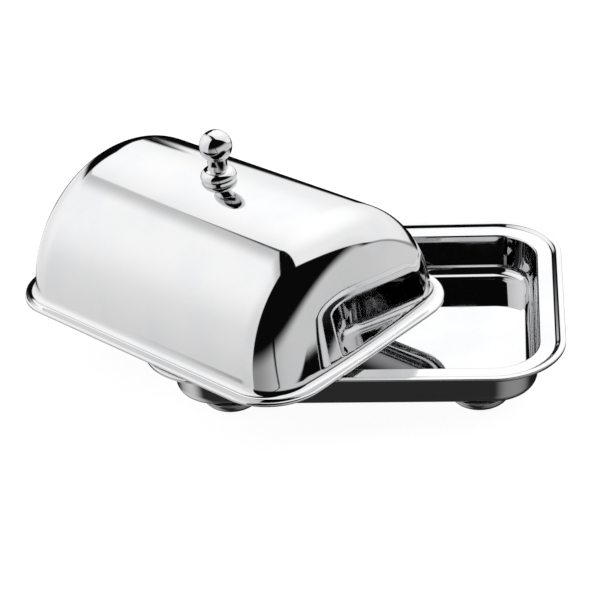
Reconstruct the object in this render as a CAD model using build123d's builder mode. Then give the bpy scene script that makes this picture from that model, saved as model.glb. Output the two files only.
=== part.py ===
from build123d import *
import os
from math import acos, atan, cos, degrees, radians, sin, sqrt

# Steel butter dish: a tray on four button feet, and a barrel-topped lid with a turned knob.
# The lid stands open, turned across the tray with its lip on the tray's rim.
# Millimetres, +Z up, the feet on Z = 0, the origin under the middle of the open dish.

# Driving dimensions: tray
tray_length = 165.0
tray_width = 123.5
tray_corner = 28.3
sheet = 0.8
rim_hem = 1.4
rim_width = 1.8
rim_round = 0.5
step_run = 2.2
step_drop = 1.5
ledge_inner = 10.4
well_depth = 19.5
well_lean = 1.8
well_fillet = 5.0

# Driving dimensions: feet
foot_height = 6.0
foot_radius = 12.0
foot_flat = 3.0
foot_edge = 0.8
foot_x = 49.0
foot_y = 36.8

# Driving dimensions: lid
lid_gap = 4.2
lid_lip = 1.4
lid_turn = -36.5
lid_shift = (-52.7, 3.9)
lid_clear = 0.15
barrel_radius = 52.0
barrel_drop = 0.4
end_reach = 73.0
end_lean = 0.055
shoulder = 17.5
foot_flare = 3.4
flange_round = 1.0

# Driving dimensions: knob and its screw
ball_radius = 6.6
ball_height = 14.3
neck_radius = 3.9
collar_radius = 7.25
collar_bead = 3.4
collar_land = 1.2
neck_round = 0.6
screw_radius = 1.95
bore_radius = 2.0
bore_depth = 9.0
screw_gap = 1.0
hole_radius = 2.2
head_radius = 3.7
head_height = 2.4
head_round = 1.0
slot_length = 4.2
slot_width = 1.0
slot_depth = 1.2
washer_radius = 5.5
washer_thick = 0.8
washer_chamfer = 0.15

# How far an edge may lie from the height it is picked at
tolerance = 0.01

# Heights worked out from them
base_z = foot_height
floor_z = base_z + sheet
rim_z = floor_z + well_depth
ledge_z = rim_z - step_drop
flange_z = rim_z + lid_clear + lid_lip
apex_z = flange_z + barrel_radius - barrel_drop

# The lid's flange has the tray's outline, smaller by the gap all round
lid_length = tray_length - 2 * lid_gap
lid_width = tray_width - 2 * lid_gap
lid_corner = tray_corner - lid_gap

# The origin is under the middle of the open dish, so the tray stands to one side of it
turn = radians(abs(lid_turn))
lid_straight_x = lid_length / 2 - lid_corner
lid_straight_y = lid_width / 2 - lid_corner
reach_x = lid_straight_x * cos(turn) + lid_straight_y * sin(turn) + lid_corner
tray_x = -(tray_length / 2 + lid_shift[0] - reach_x) / 2
tray_y = -lid_shift[1]
lid_x = tray_x + lid_shift[0]
lid_y = tray_y + lid_shift[1]


def tray_plane(height):
    return Plane(origin=(tray_x, tray_y, height))


def lid_plane(height):
    return Plane(origin=(lid_x, lid_y, height)).rotated((0, 0, lid_turn))


def tray_outline(inset):
    RectangleRounded(tray_length - 2 * inset, tray_width - 2 * inset, tray_corner - inset)


def edges_at(part, height):
    return part.edges().filter_by_position(Axis.Z, height - tolerance, height + tolerance)


# Tray: one pressed sheet with a hemmed rim, a step down to the lid's ledge, and a deep well
well_taper = degrees(atan(well_lean / (ledge_z - floor_z)))
step_taper = degrees(atan(step_run / step_drop))


def well(inset, top, bottom, radius):
    """A closed basin form, narrowing from top to bottom, with a rounded lower edge."""
    with BuildPart() as form:
        with BuildSketch(tray_plane(top)):
            tray_outline(inset)
        extrude(amount=bottom - top, taper=well_taper)
        fillet(edges_at(form, bottom), radius)
    return form.part


with BuildPart() as tray:
    with BuildSketch(tray_plane(rim_z)):
        tray_outline(0)
    extrude(amount=-rim_hem)
    with BuildSketch(tray_plane(rim_z)):
        tray_outline(rim_width)
    extrude(amount=ledge_z - sheet - rim_z)
    add(well(ledge_inner - sheet, ledge_z, base_z, well_fillet + sheet))
    with BuildSketch(tray_plane(rim_z)):
        tray_outline(rim_width)
    extrude(amount=-step_drop, taper=step_taper, mode=Mode.SUBTRACT)
    add(well(ledge_inner, ledge_z, floor_z, well_fillet), mode=Mode.SUBTRACT)
    fillet(edges_at(tray, rim_z), rim_round)
tray.part.label = "tray"

# Feet: solid domed buttons, resistance-welded under the four corners of the well
foot_places = {
    "foot_front_left": (-foot_x, -foot_y),
    "foot_front_right": (foot_x, -foot_y),
    "foot_back_left": (-foot_x, foot_y),
    "foot_back_right": (foot_x, foot_y),
}

with BuildPart() as foot:
    with BuildSketch(Plane.XZ):
        with BuildLine():
            Polyline((foot_flat, 0), (0, 0), (0, foot_height), (foot_radius, foot_height))
            Line((foot_radius, foot_height), (foot_radius, foot_height - foot_edge))
            EllipticalCenterArc(
                (foot_flat, foot_height - foot_edge),
                foot_radius - foot_flat,
                foot_height - foot_edge,
                start_angle=270,
                arc_size=90,
            )
        make_face()
    revolve(axis=Axis.Z)


def barrel(grow):
    """The lid's body, grown by grow from its outer face; its foot stands at that height."""
    radius = barrel_radius + grow
    reach = end_reach + grow
    top_reach = reach - end_lean * radius
    with BuildPart() as body:
        with BuildSketch(Plane.XZ):
            Polygon(
                (-reach, grow),
                (reach, grow),
                (top_reach, radius),
                (-top_reach, radius),
                align=None,
            )
        extrude(amount=radius, both=True)
        with BuildSketch(Plane.YZ):
            with Locations((0, -barrel_drop)):
                Circle(radius)
            with Locations((0, grow - radius)):
                Rectangle(3 * radius, 2 * radius, mode=Mode.SUBTRACT)
        extrude(amount=reach, both=True, mode=Mode.INTERSECT)
        fillet(body.edges().filter_by(GeomType.ELLIPSE), shoulder + grow)
    return body.part


# Half sizes of a box that holds the edge where barrel meets flange, and none of the flange's own
root_x = (end_reach + lid_length / 2 - flange_round) / 2
root_y = (barrel_radius + lid_width / 2 - flange_round) / 2


def cover(grow, lip):
    """The barrel on its flange, grown by grow; the flange reaches down by lip."""
    with BuildPart() as whole:
        with BuildSketch(Plane.XY.offset(grow)):
            RectangleRounded(lid_length + 2 * grow, lid_width + 2 * grow, lid_corner + grow)
        extrude(amount=-lip)
        fillet(edges_at(whole, grow), flange_round + grow)
        add(barrel(grow))
        inside = [edge for edge in edges_at(whole, grow) if edge.geom_type != GeomType.CIRCLE]
        root = [edge for edge in inside if abs(edge.center().X) < root_x and abs(edge.center().Y) < root_y]
        fillet(root, foot_flare - grow)
    return whole.part


# Lid: one pressed sheet, a barrel on a flat flange with a turned-down lip
lid_place = Location(lid_plane(flange_z))

with BuildPart() as lid_shell:
    with Locations(lid_place):
        add(cover(0, lid_lip))
        add(cover(-sheet, lid_lip), mode=Mode.SUBTRACT)
    with Locations((lid_x, lid_y, apex_z)):
        Cylinder(hole_radius, 2 * washer_radius, mode=Mode.SUBTRACT)
lid_shell.part.label = "lid_shell"

# Knob: turned from one bar, its collar cut to sit on the barrel, with a blind tapped hole
knob_axis = Axis((lid_x, lid_y, 0), (0, 0, 1))
knob_plane = Plane(origin=(lid_x, lid_y, apex_z), x_dir=(1, 0, 0), z_dir=(0, -1, 0))
ball_turn = acos(neck_radius / ball_radius)
bead_x = collar_radius - collar_bead
bead_turn = acos((neck_radius - bead_x) / collar_bead)
collar_top = collar_land + collar_bead * sin(bead_turn)
neck_end = ball_height - ball_radius * sin(ball_turn)

with BuildPart() as knob:
    with BuildSketch(knob_plane):
        with BuildLine():
            Polyline(
                (0, ball_height + ball_radius),
                (0, -collar_land),
                (collar_radius, -collar_land),
                (collar_radius, collar_land),
            )
            CenterArc((bead_x, collar_land), collar_bead, 0, degrees(bead_turn))
            Line((neck_radius, collar_top), (neck_radius, neck_end))
            CenterArc((0, ball_height), ball_radius, degrees(-ball_turn), 90 + degrees(ball_turn))
        make_face()
    revolve(axis=knob_axis)
    neck_edges = edges_at(knob, apex_z + collar_top) + edges_at(knob, apex_z + neck_end)
    fillet(neck_edges, neck_round)
    with Locations(lid_place):
        with Locations((0, 0, -barrel_drop)):
            Cylinder(barrel_radius, 2 * barrel_radius, rotation=(0, 90, 0), mode=Mode.SUBTRACT)
    with Locations((lid_x, lid_y, apex_z)):
        Cylinder(bore_radius, 2 * bore_depth, mode=Mode.SUBTRACT)
knob.part.label = "knob"

# Washer: flat, inside the lid, touching the curved sheet along its two sides
inner_radius = barrel_radius - sheet
washer_sag = inner_radius - sqrt(inner_radius**2 - washer_radius**2)
washer_top = apex_z - sheet - washer_sag
washer_bottom = washer_top - washer_thick

with BuildPart() as knob_washer:
    with BuildSketch(Plane(origin=(lid_x, lid_y, washer_bottom))):
        Circle(washer_radius)
        Circle(hole_radius, mode=Mode.SUBTRACT)
    extrude(amount=washer_thick)
    rim_edges = knob_washer.edges().filter_by(GeomType.CIRCLE).sort_by(SortBy.LENGTH)[-2:]
    chamfer(rim_edges, washer_chamfer)
knob_washer.part.label = "knob_washer"

# Screw: pan head with a cross recess, its shank up through washer and lid into the knob
with BuildPart() as knob_screw:
    with BuildSketch(Plane(origin=(lid_x, lid_y, washer_bottom - head_height))):
        Circle(head_radius)
    extrude(amount=head_height)
    fillet(edges_at(knob_screw, washer_bottom - head_height), head_round)
    with BuildSketch(Plane(origin=(lid_x, lid_y, washer_bottom))):
        Circle(screw_radius)
    extrude(amount=apex_z + bore_depth - screw_gap - washer_bottom)
    chamfer(knob_screw.edges().sort_by(Axis.Z)[-1], screw_gap / 2)
    with BuildSketch(Plane(origin=(lid_x, lid_y, washer_bottom - head_height))):
        Rectangle(slot_length, slot_width)
        Rectangle(slot_width, slot_length)
    extrude(amount=slot_depth, mode=Mode.SUBTRACT)
knob_screw.part.label = "knob_screw"

os.makedirs("parts", exist_ok=True)
export_step(tray.part, "parts/tray.step")
export_step(lid_shell.part, "parts/lid_shell.step")
export_step(knob.part, "parts/knob.step")
export_step(knob_washer.part, "parts/knob_washer.step")
export_step(knob_screw.part, "parts/knob_screw.step")

for name, (x, y) in foot_places.items():
    with BuildPart() as placed:
        with Locations((tray_x + x, tray_y + y, 0)):
            add(foot.part)
    placed.part.label = name
    export_step(placed.part, f"parts/{name}.step")
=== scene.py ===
import math

import bmesh
import bpy
from mathutils import Matrix, Vector


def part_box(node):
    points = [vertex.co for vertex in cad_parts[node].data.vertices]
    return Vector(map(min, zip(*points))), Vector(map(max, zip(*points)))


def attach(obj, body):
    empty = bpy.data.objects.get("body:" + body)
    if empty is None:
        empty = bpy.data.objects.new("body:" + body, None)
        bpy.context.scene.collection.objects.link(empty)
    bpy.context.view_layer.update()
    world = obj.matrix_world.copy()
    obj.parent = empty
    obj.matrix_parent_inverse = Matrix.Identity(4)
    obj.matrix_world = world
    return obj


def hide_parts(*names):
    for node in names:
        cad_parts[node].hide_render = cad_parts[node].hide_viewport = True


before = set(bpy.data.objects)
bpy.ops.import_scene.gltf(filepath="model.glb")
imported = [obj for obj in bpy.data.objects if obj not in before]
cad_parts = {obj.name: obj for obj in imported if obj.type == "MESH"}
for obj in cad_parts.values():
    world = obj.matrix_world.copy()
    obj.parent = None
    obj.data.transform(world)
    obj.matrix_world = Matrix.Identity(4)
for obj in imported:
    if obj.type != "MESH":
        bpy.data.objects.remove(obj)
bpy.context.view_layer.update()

# Steel butter dish: the deep tray on its feet, and the barrel-topped lid lying open across it.
# Piece sizes are in millimetres, and each piece is brought to metres as it is finished.
mm = 0.001
seam = 0.004  # points closer than this are merged


def arcPoints(centre, radius, fromTurn, toTurn, steps):
    turns = [math.radians(fromTurn + (toTurn - fromTurn) * i / steps) for i in range(steps + 1)]
    return [(centre[0] + radius * math.cos(t), centre[1] + radius * math.sin(t)) for t in turns]


def middleOf(node):
    low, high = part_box(node)
    return (low + high) / 2


def spunProfile(profile, axis, centre, angle, steps):
    # profile is a line of points, spun about axis; a full turn closes on itself
    bm = bmesh.new()
    corners = [bm.verts.new(point) for point in profile]
    edges = [bm.edges.new(pair) for pair in zip(corners, corners[1:])]
    bmesh.ops.spin(bm, geom=corners + edges, cent=centre, axis=axis, dvec=(0, 0, 0), angle=angle,
                   steps=steps, use_merge=angle == math.tau, use_duplicate=False)
    bmesh.ops.remove_doubles(bm, verts=bm.verts, dist=seam)
    return bm


def turnedPiece(profile, steps):
    # profile is (radius, height) points, turned right round the upright axis
    points = [(radius, 0, height) for radius, height in profile]
    return spunProfile(points, (0, 0, 1), (0, 0, 0), math.tau, steps)


def finishPiece(bm, name, node, body, material, place):
    bmesh.ops.remove_doubles(bm, verts=bm.verts, dist=seam)
    bmesh.ops.recalc_face_normals(bm, faces=bm.faces)
    bmesh.ops.transform(bm, matrix=place @ Matrix.Scale(mm, 4), verts=bm.verts)
    mesh = bpy.data.meshes.new(name)
    bm.to_mesh(mesh)
    bm.free()
    mesh.shade_smooth()
    mesh.materials.append(material)
    piece = bpy.data.objects.new(name, mesh)
    bpy.context.scene.collection.objects.link(piece)
    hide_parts(node)
    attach(piece, body)
    return piece


def evenShading(piece):
    weighted = piece.modifiers.new("flat faces keep their normals", "WEIGHTED_NORMAL")
    weighted.mode = "FACE_AREA"
    weighted.weight = 100
    weighted.keep_sharp = True


def sheetThickness(piece, thickness):
    wall = piece.modifiers.new("sheet", "SOLIDIFY")
    wall.thickness = thickness * mm
    wall.offset = -1  # the modelled face is the outer one
    wall.use_even_offset = True


# helpers that wire the nodes of the steel and of the studio

def wireValue(tree, operation, *values):
    node = tree.nodes.new("ShaderNodeMath")
    node.operation = operation
    for socket, value in zip(node.inputs, values):
        if isinstance(value, (int, float)):
            socket.default_value = value
        else:
            tree.links.new(value, socket)
    return node.outputs[0]


def wireDot(tree, direction, towards):
    node = tree.nodes.new("ShaderNodeVectorMath")
    node.operation = "DOT_PRODUCT"
    tree.links.new(direction, node.inputs[0])
    node.inputs[1].default_value = towards
    return node.outputs["Value"]


def wireFade(tree, value, low, high, toLow=0, toHigh=1):
    node = tree.nodes.new("ShaderNodeMapRange")
    node.interpolation_type = "SMOOTHSTEP"
    tree.links.new(value, node.inputs["Value"])
    for socket, number in (("From Min", low), ("From Max", high), ("To Min", toLow), ("To Max", toHigh)):
        node.inputs[socket].default_value = number
    return node.outputs["Result"]


def wireMix(tree, share, under, over):
    # under where share is 0, over where it is 1
    gap = wireValue(tree, "SUBTRACT", over, under)
    return wireValue(tree, "MULTIPLY_ADD", gap, share, under)


def wireNoise(tree, place, scale, detail):
    node = tree.nodes.new("ShaderNodeTexNoise")
    node.inputs["Scale"].default_value = scale
    node.inputs["Detail"].default_value = detail
    tree.links.new(place, node.inputs["Vector"])
    return node.outputs["Fac"]


def wireBump(tree, height, distance):
    node = tree.nodes.new("ShaderNodeBump")
    node.inputs["Distance"].default_value = distance
    tree.links.new(height, node.inputs["Height"])
    return node


# Polished stainless steel. Scales are per metre and depths in metres.
steel = {
    "waveScale": 26,  # the pressed sheet's faint waves
    "waveDetail": 1,
    "waveDepth": 0.00002,
    "lineScale": 900,  # hair-fine polishing lines
    "lineDetail": 2,
    "lineStretch": 50,  # how many times longer than wide
    "lineDepth": 0.0000004,
    "lineSpread": (0.3, 0.7),  # the part of the lines' noise that is used
    "lineGloss": (0.7, 1.3),  # how far a line changes the roughness
    "smudgeScale": 45,  # handling smudges in the gloss
    "smudgeDetail": 5,
    "smudgeSpread": (0.5, 0.72),
    "tarnishSpread": (0.4, 0.7),
    "tarnish": (0.96, 0.965, 0.975),  # a smudged place is this much darker
}


def steelMaterial(name, tint, roughness, smudge, waves, turn=0):
    # waves is the share of the sheet's waves that this piece has; turn is where its lines run
    material = bpy.data.materials.new(name)
    material.use_nodes = True
    tree = material.node_tree
    shader = tree.nodes["Principled BSDF"]
    shader.inputs["Metallic"].default_value = 1
    place = tree.nodes.new("ShaderNodeTexCoord").outputs["Object"]

    stretch = tree.nodes.new("ShaderNodeMapping")
    stretch.vector_type = "TEXTURE"
    stretch.inputs["Scale"].default_value = (steel["lineStretch"], 1, 1)
    stretch.inputs["Rotation"].default_value = (0, 0, math.radians(turn))
    tree.links.new(place, stretch.inputs["Vector"])
    lines = wireNoise(tree, stretch.outputs["Vector"], steel["lineScale"], steel["lineDetail"])
    smudges = wireNoise(tree, place, steel["smudgeScale"], steel["smudgeDetail"])

    mark = wireFade(tree, smudges, *steel["smudgeSpread"], roughness, roughness + smudge)
    grain = wireFade(tree, lines, *steel["lineSpread"], *steel["lineGloss"])
    tree.links.new(wireValue(tree, "MULTIPLY", mark, grain), shader.inputs["Roughness"])

    colour = tree.nodes.new("ShaderNodeMix")
    colour.data_type = "RGBA"
    colour.inputs["A"].default_value = (*tint, 1)
    colour.inputs["B"].default_value = (*(t * dull for t, dull in zip(tint, steel["tarnish"])), 1)
    tree.links.new(wireFade(tree, smudges, *steel["tarnishSpread"]), colour.inputs["Factor"])
    tree.links.new(colour.outputs["Result"], shader.inputs["Base Color"])

    wave = wireBump(tree, wireNoise(tree, place, steel["waveScale"], steel["waveDetail"]),
                    steel["waveDepth"] * waves)
    fine = wireBump(tree, lines, steel["lineDepth"])
    tree.links.new(wave.outputs["Normal"], fine.inputs["Normal"])
    tree.links.new(fine.outputs["Normal"], shader.inputs["Normal"])
    return material


# The tray: one pressed sheet, from its hem over the rim and the lid's ledge down into the well.
tray = {
    "length": 165.0,
    "width": 123.5,
    "corner": 28.3,
    "cornerSteps": 28,
    "hem": 1.4,  # depth of the turned-down rim
    "rimRound": 0.5,
    "rimSteps": 5,
    "rimFlat": 1.6,  # width of the flat on top of the rim
    "stepSlope": 42.0,  # degrees
    "stepRound": 1.7,
    "stepSteps": 6,
    "stepDrop": 1.5,
    "ledgeInner": 10.4,  # from the outline to the mouth of the well
    "mouthRound": 1.0,
    "mouthSteps": 8,
    "depth": 19.5,
    "wallLean": 5.71,  # degrees
    "floorRound": 5.0,
    "floorSteps": 14,
    "floorMargin": 1.0,  # flat ring between the floor's round and its one large face
    "sheet": 0.8,
    "finish": {"tint": (0.68, 0.68, 0.685), "roughness": 0.02, "smudge": 0.05, "waves": 1},
}


def trayProfile():
    # (inset from the outline, height from the rim) all the way in
    t = tray
    slope, lean = math.radians(t["stepSlope"]), math.radians(t["wallLean"])
    ledgeZ, floorZ = -t["stepDrop"], -t["depth"]
    points = [(0, -t["hem"])]
    points += arcPoints((t["rimRound"], -t["rimRound"]), t["rimRound"], 180, 90, t["rimSteps"])
    crest, bendRound = t["rimFlat"], t["stepRound"]
    points += arcPoints((crest, -bendRound), bendRound, 90, 90 - t["stepSlope"], t["stepSteps"])
    bendDrop = bendRound * (1 - math.cos(slope))
    run = (t["stepDrop"] - 2 * bendDrop) / math.tan(slope) + 2 * bendRound * math.sin(slope)
    points += arcPoints((crest + run, ledgeZ + bendRound), bendRound, 270 - t["stepSlope"], 270,
                        t["stepSteps"])
    mouth, toe = t["mouthRound"], t["floorRound"]
    mouthX = t["ledgeInner"] + mouth * (1 - math.sin(lean)) * math.tan(lean) - mouth * math.cos(lean)
    points += arcPoints((mouthX, ledgeZ - mouth), mouth, 90, t["wallLean"], t["mouthSteps"])
    wallDrop = ledgeZ - floorZ - toe * (1 - math.sin(lean))
    toeX = t["ledgeInner"] + wallDrop * math.tan(lean) + toe * math.cos(lean)
    points += arcPoints((toeX, floorZ + toe), toe, 180 + t["wallLean"], 270, t["floorSteps"])
    return points + [(toeX + t["floorMargin"], floorZ)]


def buildTray():
    t = tray
    bm = bmesh.new()
    bmesh.ops.create_grid(bm, x_segments=1, y_segments=1, size=0.5)
    bmesh.ops.scale(bm, vec=(t["length"], t["width"], 1), verts=bm.verts)
    bmesh.ops.bevel(bm, geom=bm.verts[:], offset=t["corner"], offset_type="OFFSET", affect="VERTICES",
                    segments=t["cornerSteps"], profile=0.5, material=-1)
    profile = trayProfile()
    plate = bm.faces[:][0]
    bmesh.ops.translate(bm, vec=(0, 0, profile[0][1]), verts=plate.verts)
    for (lastInset, lastZ), (inset, z) in zip(profile, profile[1:]):  # pressed in ring by ring
        bmesh.ops.inset_region(bm, faces=[plate], thickness=inset - lastInset, use_boundary=True,
                               use_even_offset=True)
        bmesh.ops.translate(bm, vec=(0, 0, z - lastZ), verts=plate.verts)
    low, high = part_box("tray")
    place = Matrix.Translation(((low.x + high.x) / 2, (low.y + high.y) / 2, high.z))
    material = steelMaterial("tray steel", **t["finish"])
    piece = finishPiece(bm, "tray_pressed", "tray", "tray", material, place)
    sheetThickness(piece, t["sheet"])
    evenShading(piece)


buildTray()
print("tray ready")


# The feet: four domed buttons under the tray.
foot = {
    "height": 6.0,
    "radius": 12.0,
    "flat": 3.0,  # radius of the face it stands on
    "edge": 0.8,  # straight part under the tray's floor
    "domeSteps": 14,
    "roundSteps": 64,
    # the feet's tint is darker than the rest of the steel: painted shade for the dark that these
    # polished buttons reflect from under the tray
    "finish": {"tint": (0.42, 0.42, 0.425), "roughness": 0.05, "smudge": 0.05, "waves": 0.1},
}
footShadedSteel = steelMaterial("foot steel with painted shade", **foot["finish"])


def buildFoot(node):
    f = foot
    wide, tall = f["radius"] - f["flat"], f["height"] - f["edge"]
    dome = arcPoints((0, 0), 1, 270, 360, f["domeSteps"])
    profile = [(0, 0)] + [(f["flat"] + wide * x, tall + tall * z) for x, z in dome]
    profile += [(f["radius"], f["height"]), (0, f["height"])]
    middle = middleOf(node)
    place = Matrix.Translation((middle.x, middle.y, 0))
    bm = turnedPiece(profile, f["roundSteps"])
    piece = finishPiece(bm, node + "_button", node, "tray", footShadedSteel, place)
    evenShading(piece)


for node in ("foot_front_left", "foot_front_right", "foot_back_left", "foot_back_right"):
    buildFoot(node)
print("feet ready")


# The lid: one pressed sheet, half a barrel with rounded ends on a flat flange.
lid = {
    "turn": -36.5,  # degrees, how the open lid lies across the tray
    "radius": 52.0,
    "axisDrop": 0.4,  # barrel's axis below the flange's top
    "reach": 73.0,  # half length at the flange
    "endLean": 0.055,  # inward, per unit of height
    "shoulder": 17.5,
    "shoulderSteps": 18,
    "endCrown": 1.4,  # how far the end bulges
    "crownSteps": 8,
    "barrelSteps": 96,
    "rootRound": 3.4,
    "rootStart": 4.0,  # degrees that the wall leans where the root begins
    "rootSteps": 8,
    "rootMerge": 0.05,  # slivers left by the cut at the root are merged
    "flangeHalf": (78.3, 57.55),
    "flangeCorner": 24.1,
    "flangeRound": 1.0,
    "flangeSteps": 6,
    "lip": 1.4,
    "sheet": 0.8,
    "finish": {"tint": (0.68, 0.68, 0.685), "roughness": 0.02, "smudge": 0.05, "waves": 1},
}


def lidPlace(height):
    # the lid is placed about its knob's screw
    middle = middleOf("knob_screw")
    turned = Matrix.Rotation(math.radians(lid["turn"]), 4, "Z")
    return Matrix.Translation((middle.x, middle.y, height)) @ turned


def lidProfile(coreX, coreY):
    # half the lid's length, from the middle over the shoulder to the centre of the crowned end
    d = lid
    tilt = math.atan(2 * d["endCrown"] / coreY)
    endX = coreX + d["shoulder"] * math.cos(tilt)
    endY = coreY + d["shoulder"] * math.sin(tilt)
    profile = [(0, d["radius"])]
    profile += arcPoints((coreX, coreY), d["shoulder"], 90, math.degrees(tilt), d["shoulderSteps"])
    for step in range(1, d["crownSteps"] + 1):
        inward = 1 - step / d["crownSteps"]
        profile.append((endX + d["endCrown"] * (1 - inward * inward), endY * inward))
    return profile


def lidBarrel(coreX, coreY):
    # half the profile spun over the top, leant in at the end, and mirrored
    drop = -lid["axisDrop"]
    profile = [(x, radius, drop) for x, radius in lidProfile(coreX, coreY)]
    bm = spunProfile(profile, (1, 0, 0), (0, 0, drop), math.pi, lid["barrelSteps"])
    lean = Matrix.Identity(4)
    lean[0][2] = -lid["endLean"]
    bmesh.ops.transform(bm, matrix=lean, verts=bm.verts)
    for vertex in bm.verts:
        if vertex.co.x < coreX / 10:  # the middle line stays upright
            vertex.co.x = 0
    bmesh.ops.mirror(bm, geom=bm.verts[:] + bm.edges[:] + bm.faces[:], axis="X", merge_dist=seam)
    return bm


def outwardFrom(co, coreX, coreY):
    # the point of the straight-sided core nearest to co, and the way out from it
    core = Vector((max(-coreX, min(coreX, co.x)), max(-coreY, min(coreY, co.y))))
    return core, (Vector((co.x, co.y)) - core).normalized()


def extrudeRim(bm):
    # one more ring along the open edge, still on top of the last one
    rim = [edge for edge in bm.edges if edge.is_boundary]
    grown = bmesh.ops.extrude_edge_only(bm, edges=rim)["geom"]
    return [item for item in grown if isinstance(item, bmesh.types.BMVert)]


def growRoot(bm, coreX, coreY):
    # the wall is cut off above the flange and turned outwards through a round
    root, start = lid["rootRound"], math.radians(lid["rootStart"])
    bmesh.ops.bisect_plane(bm, geom=bm.verts[:] + bm.edges[:] + bm.faces[:], dist=seam,
                           plane_co=(0, 0, root * (1 - math.sin(start))), plane_no=(0, 0, 1),
                           clear_inner=True)
    bmesh.ops.remove_doubles(bm, verts=bm.verts, dist=lid["rootMerge"])
    turns = [start + (math.pi / 2 - start) * i / lid["rootSteps"] for i in range(lid["rootSteps"] + 1)]
    for last, turn in zip(turns, turns[1:]):
        outBy = root * (math.cos(last) - math.cos(turn))
        downBy = root * (math.sin(turn) - math.sin(last))
        for vertex in extrudeRim(bm):
            out = outwardFrom(vertex.co, coreX, coreY)[1]
            vertex.co += Vector((out.x * outBy, out.y * outBy, -downBy))


def growFlange(bm):
    # flat out to the flange's outline, over its rounded edge, and down to the lip
    (halfX, halfY), corner, edgeRound = lid["flangeHalf"], lid["flangeCorner"], lid["flangeRound"]
    edge = arcPoints((edgeRound, -edgeRound), edgeRound, 90, 180, lid["flangeSteps"])
    for inset, z in edge + [(0, -lid["lip"])]:
        for vertex in extrudeRim(bm):
            core, out = outwardFrom(vertex.co, halfX - corner, halfY - corner)
            spot = core + out * (corner - inset)
            vertex.co = Vector((spot.x, spot.y, z))


def buildLid():
    coreX, coreY = lid["reach"] - lid["shoulder"], lid["radius"] - lid["shoulder"]
    bm = lidBarrel(coreX, coreY)
    growRoot(bm, coreX, coreY)
    growFlange(bm)
    place = lidPlace(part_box("lid_shell")[0].z + lid["lip"] * mm)
    material = steelMaterial("lid steel", turn=lid["turn"], **lid["finish"])
    piece = finishPiece(bm, "lid_pressed", "lid_shell", "lid", material, place)
    sheetThickness(piece, lid["sheet"])
    evenShading(piece)


buildLid()
print("lid ready")


# The knob: a ball on a neck on a domed collar, turned from one bar.
knob = {
    "ball": 6.6,
    "ballHeight": 14.3,
    "ballSteps": 40,
    "neck": 3.9,
    "collar": 7.25,
    "collarBead": 3.4,
    "collarLand": 1.2,
    "beadSteps": 14,
    "roundSteps": 96,
    "finish": {"tint": (0.68, 0.68, 0.685), "roughness": 0.02, "smudge": 0.03, "waves": 0.1},
}


def buildKnob():
    k = knob
    ballTurn = math.degrees(math.acos(k["neck"] / k["ball"]))
    beadX = k["collar"] - k["collarBead"]
    beadTurn = math.degrees(math.acos((k["neck"] - beadX) / k["collarBead"]))
    profile = [(0, 0), (k["collar"], 0)]
    profile += arcPoints((beadX, k["collarLand"]), k["collarBead"], 0, beadTurn, k["beadSteps"])
    profile += arcPoints((0, k["ballHeight"]), k["ball"], -ballTurn, 90, k["ballSteps"])
    bm = turnedPiece(profile, k["roundSteps"])
    barrel = lid["radius"]
    for vertex in bm.verts:
        if vertex.co.z < k["collarLand"] / 2:  # the collar's foot follows the barrel it sits on
            vertex.co.z = math.sqrt(barrel * barrel - vertex.co.y ** 2) - barrel
    place = lidPlace(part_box("lid_shell")[1].z)
    material = steelMaterial("knob steel", **k["finish"])
    piece = finishPiece(bm, "knob_turned", "knob", "lid", material, place)
    evenShading(piece)


buildKnob()
print("knob ready")


# The washer and the screw inside the lid keep their CAD shapes.
fastener = {
    "finish": {"tint": (0.6, 0.6, 0.61), "roughness": 0.18, "smudge": 0.1, "waves": 0.1},
}
fastenerMaterial = steelMaterial("fastener steel", **fastener["finish"])
for node in ("knob_washer", "knob_screw"):
    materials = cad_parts[node].data.materials
    materials.clear()
    materials.append(fastenerMaterial)
print("washer and screw ready")


cameraView = {
    "azimuth": 7.84,  # degrees, to the right of straight in front
    "elevation": 30.86,
    "roll": 4.9,
    "distance": 0.78984,
    "lookAt": (0.000763, 0.02576, 0.00702),
    "lens": 111.0,
    "sensor": 36.0,
    "nearest": 0.01,
}


def placeCamera():
    c = cameraView
    azimuth, elevation, roll = (math.radians(c[turn]) for turn in ("azimuth", "elevation", "roll"))
    back = Vector((math.sin(azimuth) * math.cos(elevation), -math.cos(azimuth) * math.cos(elevation),
                   math.sin(elevation)))
    right = Vector((math.cos(azimuth), math.sin(azimuth), 0))
    up = back.cross(right)
    across = right * math.cos(roll) - up * math.sin(roll)
    upward = right * math.sin(roll) + up * math.cos(roll)
    camera = bpy.data.objects.new("camera", bpy.data.cameras.new("camera"))
    bpy.context.scene.collection.objects.link(camera)
    facing = Matrix((across, upward, back)).transposed().to_4x4()
    camera.matrix_world = Matrix.Translation(Vector(c["lookAt"]) + back * c["distance"]) @ facing
    camera.data.lens = c["lens"]
    camera.data.sensor_width = c["sensor"]
    camera.data.clip_start = c["nearest"]
    bpy.context.scene.camera = camera


placeCamera()
print("camera ready")


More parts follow.
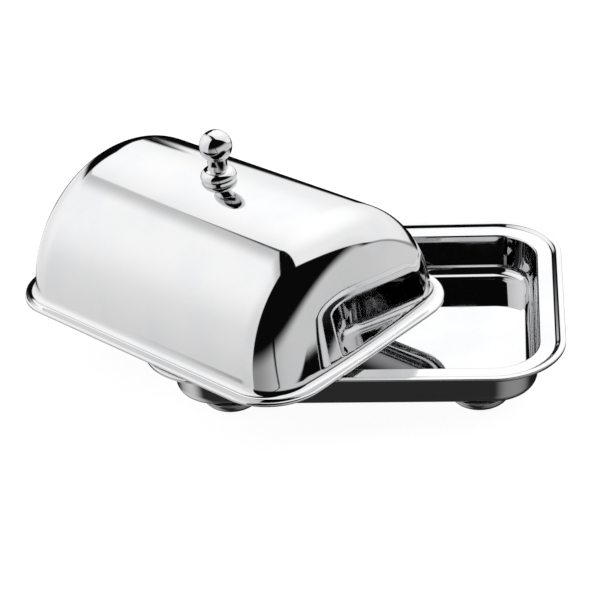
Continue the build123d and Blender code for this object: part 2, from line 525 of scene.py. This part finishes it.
# The studio: soft boxes round the dish, painted on the sky one over the other, as the steel sees them.
# An edge is ((x, y, z), offset, softness): a box is lit where a direction goes further than offset
# along x, y, z. A glow is ((x, y, z), gain, start): light added as a direction nears x, y, z.
studio = {
    "dark": 0.004,
    "boxes": [
        {"name": "light under the table's edge", "light": 0.03,
         "edges": [((0, 0, -1), 0.62, 0.1)],
         "glows": [((0.62, -0.33, -0.71), 0.30, 0.75), ((-0.74, 0.1, -0.67), 0.75, 0.75)]},
        {"name": "table behind", "light": 0.86,
         "edges": [((0.21, -0.42, -1), 0.03, 0.08), ((1, 0, 0), 0.0, 0.1), ((-0.1, 1, 0), -0.04, 0.1),
                   ((0, 0, 1), -0.42, 0.06)]},
        {"name": "table in front", "light": 0.36,
         "edges": [((0.24, -0.06, -1), -0.03, 0.32), ((0.1, -1, 0), -0.06, 0.1),
                   ((0, 0, 1), -0.42, 0.03)],
         "glows": [((0.966, -0.26, 0), 0.45, -0.4)]},
        {"name": "ceiling and back", "light": 1.20,
         "edges": [((1, 1, 0.155), 0.0, 0.02), ((0, 1, 0.664), 0.325, 0.03),
                   ((-0.21, 0.42, 1), 0.0, 0.07)],
         "glows": [((0.09, 0.64, 0.77), 0.28, 0.72), ((0.87, -0.25, 0.2), -0.25, 0.7),
                   ((0, 0.4, -0.92), -0.5, 0.2)]},
        {"name": "left wall's dim border", "light": 0.78,
         "edges": [((-1, -0.5, -0.48), -0.045, 0.03), ((-0.719, 0.695, 0), -0.02, 0.04),
                   ((0, 0, 1), 0.0, 0.05)]},
        {"name": "left wall", "light": 1.13,
         "edges": [((-1, -0.5, -0.48), 0.09, 0.22), ((-0.719, 0.695, 0), -0.02, 0.04),
                   ((0, 0, 1), -0.42, 0.05)],
         "glows": [((-0.75, 0.2, 0.6), 0.20, 0.7), ((-0.7, -0.7, 0), -0.15, 0.6),
                   ((-0.4, 0, -0.92), -0.25, 0.3)]},
        {"name": "black flag behind", "light": 0.004,
         "edges": [((-0.604, -0.086, -0.257), -0.03, 0.03), ((0.662, 0.209, 0.340), -0.13, 0.05),
                   ((0, 0, -1), -0.54, 0.05), ((0, 0, 1), -0.38, 0.1)]},
        {"name": "black flag's corner", "light": 0.004,
         "edges": [((-0.836, 0.005, -0.549), 0.0, 0.025), ((-1, -0.105, 0), 0.0, 0.02),
                   ((0.662, 0.209, 0.340), -0.13, 0.05), ((0, 0, 1), -0.1, 0.1),
                   ((0, 0, -1), -0.25, 0.08)]},
        {"name": "dark gap behind", "light": 0.004,
         "edges": [((0, 1, 0), 0.82, 0.05), ((0, 0, -1), 0.2, 0.06)]},
    ],
    "seenBehind": 1.0,  # plain white where the camera looks past the table
}


def boxMask(tree, direction, box):
    mask = None
    for towards, offset, softness in box["edges"]:
        reach = wireDot(tree, direction, towards)
        inside = wireFade(tree, reach, offset - softness / 2, offset + softness / 2)
        mask = inside if mask is None else wireValue(tree, "MULTIPLY", mask, inside)
    return mask


def buildStudio():
    world = bpy.data.worlds.new("studio")
    bpy.context.scene.world = world
    world.use_nodes = True
    tree = world.node_tree
    direction = tree.nodes.new("ShaderNodeTexCoord").outputs["Generated"]
    light = studio["dark"]
    for box in studio["boxes"]:
        boxLight = box["light"]
        for towards, gain, start in box.get("glows", []):
            glow = wireFade(tree, wireDot(tree, direction, towards), start, 1.0)
            boxLight = wireValue(tree, "MULTIPLY_ADD", glow, gain, boxLight)
        light = wireMix(tree, boxMask(tree, direction, box), light, boxLight)
    seen = tree.nodes.new("ShaderNodeLightPath").outputs["Is Camera Ray"]
    shown = wireMix(tree, seen, light, studio["seenBehind"])
    tree.links.new(shown, tree.nodes["Background"].inputs["Color"])
    bpy.context.scene.view_settings.view_transform = "Standard"


buildStudio()
print("studio ready")


# The pale table that the dish stands on. The steel sees the soft boxes and not the table.
tableTop = {
    "size": 6.0,
    "white": 0.93,  # light the table gives off by itself
    "shade": 0.25,  # how much of its light a shadow can take
}


def tableMaterial():
    material = bpy.data.materials.new("white table")
    material.use_nodes = True
    nodes, links = material.node_tree.nodes, material.node_tree.links
    nodes.clear()
    glow = nodes.new("ShaderNodeEmission")
    glow.inputs["Strength"].default_value = tableTop["white"]
    shaded = nodes.new("ShaderNodeBsdfDiffuse")
    shaded.inputs["Color"].default_value = (*[tableTop["shade"]] * 3, 1)
    both = nodes.new("ShaderNodeAddShader")
    links.new(glow.outputs[0], both.inputs[0])
    links.new(shaded.outputs[0], both.inputs[1])
    links.new(both.outputs[0], nodes.new("ShaderNodeOutputMaterial").inputs["Surface"])
    return material


def buildTable():
    bm = bmesh.new()
    bmesh.ops.create_grid(bm, x_segments=1, y_segments=1, size=tableTop["size"] / 2)
    mesh = bpy.data.meshes.new("table_top")
    bm.to_mesh(mesh)
    bm.free()
    mesh.materials.append(tableMaterial())
    table = bpy.data.objects.new("table_top", mesh)
    bpy.context.scene.collection.objects.link(table)
    table.visible_glossy = False
    table.visible_diffuse = False


buildTable()
print("table ready")
